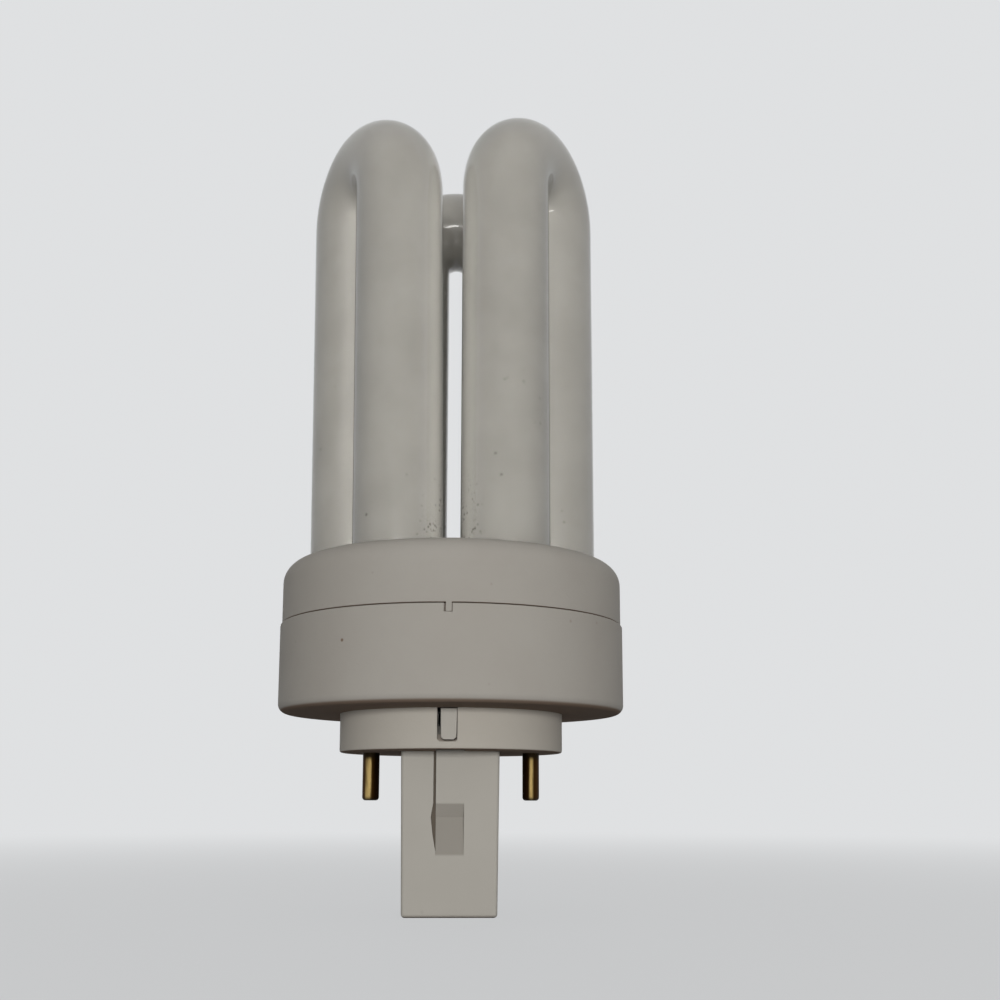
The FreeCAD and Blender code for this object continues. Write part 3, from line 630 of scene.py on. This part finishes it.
def glass_material():
    """Clear glass with a faint smear."""
    material, tree, shader = new_material("clear_glass")
    smear = add_node(tree, "TexNoise", {"Vector": object_place(tree)}, Scale=60.0, Detail=3.0)
    tree.links.new(spread(tree, smear.outputs["Fac"], 0.02, 0.09), shader.inputs["Roughness"])
    shader.inputs["Base Color"].default_value = (0.97, 0.98, 0.97, 1)
    shader.inputs["Transmission Weight"].default_value = 1.0
    shader.inputs["IOR"].default_value = 1.5
    return material


def painted_bounce_light(tree, axes, across):
    """Painted light: the coat is made lighter where the tubes stand close, for the light they throw on
    each other.

    It is fainter to both sides, fainter still on the right, and absent at the back."""
    between = add_node(tree, "AmbientOcclusion", samples=8, only_local=True, Distance=14 * MM)
    close = ramp(tree, between.outputs["AO"], [(0.45, 1.0), (0.9, 0.0)])
    close = times(tree, close, fade(tree, across, 7 * MM, 10 * MM, 1.0, 0.55))
    close = times(tree, close, fade(tree, axes["X"], 2 * MM, 9 * MM, 1.0, 0.35))
    return times(tree, close, fade(tree, axes["Y"], 1 * MM, 6 * MM, 1.0, 0.0))


def phosphor_material():
    """The powder coat inside the glass: mottled grey-white, with painted light where the tubes stand
    close and specks that thin out upwards.

    It has burnt dots low down beside the gap between the two front legs."""
    material, tree, shader = new_material("phosphor_powder")
    place = object_place(tree)
    axes = object_axes(tree)
    across = size_of(tree, axes["X"])
    cloud = add_node(tree, "TexNoise", {"Vector": place}, Scale=110.0, Detail=5.0, Roughness=0.6)
    cloudy = ramp(tree, cloud.outputs["Fac"], [(0.32, 0.0), (0.7, 1.0)])
    toned = mix_colour(tree, cloudy, (0.266, 0.255, 0.234, 1), (0.224, 0.213, 0.194, 1))
    # Painted light between the tubes that stand close.
    toned = mix_colour(tree, painted_bounce_light(tree, axes, across), toned, (0.62, 0.60, 0.556, 1))
    low = fade(tree, axes["Z"], 28 * MM, 62 * MM, 0.95, 0.12)
    specks = times(tree, scattered_dots(tree, place, 620.0, (0.05, 0.2), 230.0, (0.58, 0.66)), low)
    near_gap = times(tree, fade(tree, across, 3.4 * MM, 5.0 * MM, 1.0, 0.0),
                     fade(tree, axes["Y"], -14 * MM, -9 * MM, 1.0, 0.0))
    near_foot = times(tree, near_gap, fade(tree, axes["Z"], 30 * MM, 39 * MM, 0.9, 0.0))
    burnt = scattered_dots(tree, place, 1500.0, (0.12, 0.4), 520.0, (0.44, 0.54))
    dots = larger(tree, specks, times(tree, burnt, near_foot))
    speckled = mix_colour(tree, dots, toned, (0.1, 0.09, 0.075, 1))
    tree.links.new(speckled, shader.inputs["Base Color"])
    shader.inputs["Roughness"].default_value = 0.9
    shader.inputs["Specular IOR Level"].default_value = 0.1
    return material


def brass_material(name, centre, rub_and_highlight_span):
    """Brass, dark brown from tarnish and a painted dark reflection, with a bright streak along the pin
    that is rub wear and a painted highlight.

    The streak lies between two limits in X, measured from the pin's centre."""
    material, tree, shader = new_material(name)
    axes = object_axes(tree)
    stretched = add_node(tree, "Mapping", {"Vector": object_place(tree)}, Scale=(1, 1, 0.12))
    along = stretched.outputs["Vector"]
    streak = add_node(tree, "TexNoise", {"Vector": along}, Scale=1500.0, Detail=3.0).outputs["Fac"]
    across = add_node(tree, "Math", {0: axes["X"], 1: centre}, operation="SUBTRACT").outputs[0]
    # The bright band is rub wear and a painted highlight, set where the highlight falls on each pin.
    rub_and_highlight_band = times(tree, band(tree, across, rub_and_highlight_span[0] * MM, rub_and_highlight_span[1] * MM, 0.16 * MM),
                   ramp(tree, streak, [(0.34, 0.25), (0.58, 1.0)]))
    metal = mix_colour(tree, rub_and_highlight_band, (0.05, 0.022, 0.005, 1), (0.64, 0.46, 0.18, 1))
    # Both ends are darker than the shank: painted shade where the pin meets the boss, and darker at the
    # tip.
    shank = band(tree, axes["Z"], -6.4 * MM, -0.8 * MM, 0.35 * MM)
    dark_ended = mix_colour(tree, shank, (0.03, 0.02, 0.01, 1), metal)
    tree.links.new(dark_ended, shader.inputs["Base Color"])
    shader.inputs["Metallic"].default_value = 1.0
    tree.links.new(fade(tree, streak, 0.3, 0.7, 0.62, 0.48), shader.inputs["Roughness"])
    bump = add_node(tree, "Bump", {"Height": streak}, Strength=0.15, Distance=0.1 * MM)
    tree.links.new(bump.outputs["Normal"], shader.inputs["Normal"])
    return material


def plain_material(name, first, second, scale, metallic, roughness):
    """A two-tone material for the small parts inside."""
    material, tree, shader = new_material(name)
    noise = add_node(tree, "TexNoise", {"Vector": object_place(tree)}, Scale=scale, Detail=3.0)
    tree.links.new(mix_colour(tree, noise.outputs["Fac"], first, second), shader.inputs["Base Color"])
    shader.inputs["Metallic"].default_value = metallic
    shader.inputs["Roughness"].default_value = roughness
    return material


def finish_piece(piece, material, slot, *nodes):
    """Give a new piece its material and body, and hide the CAD nodes that it stands for. The slot is
    not used.
    """
    piece.data.materials.clear()
    piece.data.materials.append(material)
    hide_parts(*nodes)
    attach(piece, "root")


def dress_node(name, material):
    """Give a CAD node its material."""
    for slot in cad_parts[name].material_slots:
        slot.material = material


def seen_rays(tree):
    """A mask of the rays that look at the background: the camera's, and those of gloss and glass."""
    rays = tree.nodes.new("ShaderNodeLightPath").outputs
    return larger(tree, larger(tree, rays["Is Camera Ray"], rays["Is Glossy Ray"]),
                  rays["Is Transmission Ray"])


def make_floor():
    """A wide pale floor under the post. It fades into the surround, and is darkest by the bulb."""
    deselect()
    bpy.ops.mesh.primitive_circle_add(vertices=96, radius=4.0, fill_type="NGON",
                                      location=(0, 0, -POST_LENGTH * MM))
    floor = bpy.context.active_object
    floor.name = "studio_floor"
    apply_place(floor)
    material, tree, shader = new_material("pale_floor")
    place = object_place(tree)
    tone = add_node(tree, "TexNoise", {"Vector": place}, Scale=3.0)
    grey = mix_colour(tree, tone.outputs["Fac"], (0.26, 0.26, 0.26, 1), (0.28, 0.28, 0.28, 1))
    tree.links.new(grey, shader.inputs["Base Color"])
    shader.inputs["Roughness"].default_value = 0.8
    distance = add_node(tree, "VectorMath", {0: place}, operation="LENGTH").outputs["Value"]
    share = times(tree, fade(tree, distance, 0.04, 0.4, 0.72, 1.0), seen_rays(tree))
    glow = add_node(tree, "Emission", Color=SURROUND, Strength=1.0)
    mixed = add_node(tree, "MixShader", {0: share, 1: shader.outputs[0], 2: glow.outputs[0]})
    output = next(node for node in tree.nodes if node.type == "OUTPUT_MATERIAL")
    tree.links.new(mixed.outputs[0], output.inputs["Surface"])
    floor.data.materials.append(material)


def make_world():
    """A pale surround for the camera, gloss and glass, and a dim one for the light it gives."""
    world = bpy.data.worlds.new("studio")
    bpy.context.scene.world = world
    world.use_nodes = True
    tree = world.node_tree
    tree.nodes.clear()
    output = tree.nodes.new("ShaderNodeOutputWorld")
    ambient = add_node(tree, "Background", Color=AMBIENT, Strength=0.18)
    surround = add_node(tree, "Background", Color=SURROUND, Strength=1.0)
    shaders = {0: seen_rays(tree), 1: ambient.outputs[0], 2: surround.outputs[0]}
    mixed = add_node(tree, "MixShader", shaders)
    tree.links.new(mixed.outputs[0], output.inputs["Surface"])


def add_lamp(name, place, aim, size, power, glossy=False):
    """A lamp, as wide and tall as given, that looks at a point.

    It lights surfaces and gives them no gloss, or the other way round where glossy is set."""
    data = bpy.data.lights.new(name, "AREA")
    data.shape = "RECTANGLE"
    data.size, data.size_y = size
    data.energy = power
    data.color = LAMP_COLOUR
    lamp = bpy.data.objects.new(name, data)
    bpy.context.scene.collection.objects.link(lamp)
    lamp.location = place
    lamp.rotation_euler = (Vector(aim) - Vector(place)).to_track_quat("-Z", "Y").to_euler()
    lamp.visible_camera = False
    lamp.visible_glossy = glossy
    lamp.visible_diffuse = not glossy


def make_camera():
    """The photograph's camera, as fitted: low, close and looking up a little."""
    pitch, yaw, roll = math.radians(9.023), math.radians(1.498), math.radians(0.116)
    forward = Vector((math.sin(yaw) * math.cos(pitch), math.cos(yaw) * math.cos(pitch),
                      math.sin(pitch)))
    level = Vector((math.cos(yaw), -math.sin(yaw), 0))
    above = level.cross(forward)
    right = math.cos(roll) * level + math.sin(roll) * above
    up = math.cos(roll) * above - math.sin(roll) * level
    data = bpy.data.cameras.new("camera")
    data.lens = 42.013
    data.sensor_width = 36.0
    data.shift_y = 0.11
    data.clip_start = 0.005
    camera = bpy.data.objects.new("camera", data)
    bpy.context.scene.collection.objects.link(camera)
    turn = Matrix((right, up, -forward)).transposed().to_4x4()
    camera.matrix_world = Matrix.Translation((0.002576, -0.170, -0.006)) @ turn
    bpy.context.scene.camera = camera


AGED_PLASTIC = aged_plastic_group()
POST_COLOUR = (0.455, 0.437, 0.40, 1)
# Each plastic's dark colour serves its cloudy tone and specks, and its painted shade; the shell's
# second colour is the boss's painted light.
housing_plastic = plastic_material("housing_plastic", ((0.40, 0.382, 0.352, 1), (0.48, 0.455, 0.41, 1)),
                                   (0.175, 0.122, 0.088, 1), 0.09, 0.6, 0.35, speck_mask)
post_plastic = plastic_material("post_plastic", (POST_COLOUR, POST_COLOUR),
                                (0.08, 0.06, 0.042, 1), 0.05, 0.3, 0.25, painted_recess_shade)

glass = tube_assembly("glass_tube", TUBE_RADIUS, BRIDGE_RADIUS, LEG_FOOT)
finish_piece(glass, glass_material(), "phosphor_glass", "discharge_tube")
glass.visible_shadow = False
powder = tube_assembly("phosphor_coat", TUBE_RADIUS - GLASS_WALL, BRIDGE_RADIUS - GLASS_WALL,
                       LEG_FOOT + GLASS_WALL)
finish_piece(powder, phosphor_material(), "phosphor_glass", "discharge_tube")

finish_piece(make_collar(), housing_plastic, "collar_plastic", "tube_holder")
finish_piece(make_base(), housing_plastic, "base_plastic", "base_housing")
finish_piece(make_post(), post_plastic, "post_plastic", "starter_post")
# Each pin's bright band, as rub wear and a painted highlight.
for side_name, side, rub_and_highlight_span in (("left", -1, (-0.68, 0.12)), ("right", 1, (-0.26, 0.28))):
    brass = brass_material(f"streaked_brass_{side_name}", pin_place(side)[0], rub_and_highlight_span)
    finish_piece(contact_pin(side_name, side), brass, "pin_brass", f"contact_pin_{side_name}")

dress_node("glow_starter", plain_material("starter_glass", (0.55, 0.58, 0.56, 1), (0.35, 0.37, 0.36, 1),
                                          300.0, 0.0, 0.1))
dress_node("capacitor", plain_material("capacitor_coat", (0.45, 0.2, 0.06, 1), (0.36, 0.15, 0.05, 1),
                                       500.0, 0.0, 0.4))
wire = plain_material("tinned_wire", (0.62, 0.61, 0.58, 1), (0.45, 0.44, 0.42, 1), 900.0, 1.0, 0.3)
for name in ("lead_pin_left", "lead_pin_right", "lead_starter_left", "lead_starter_right"):
    dress_node(name, wire)

make_floor()
make_world()
add_lamp("front_softbox", (0.040, -0.70, 0.012), (0, 0, 0.035), (0.30, 0.13), 4.2)
add_lamp("rear_softbox", (-0.05, 0.80, 0.060), (0, 0, 0.035), (0.60, 0.30), 4.2)
add_lamp("overhead_softbox", (0.0, -0.10, 0.75), (0, 0, 0.06), (0.5, 0.5), 0.35)
add_lamp("gloss_lamp", (0.045, -0.70, 0.005), (0, 0, 0.05), (0.16, 0.07), 0.3, glossy=True)
make_camera()
bpy.context.scene.view_settings.view_transform = "Standard"
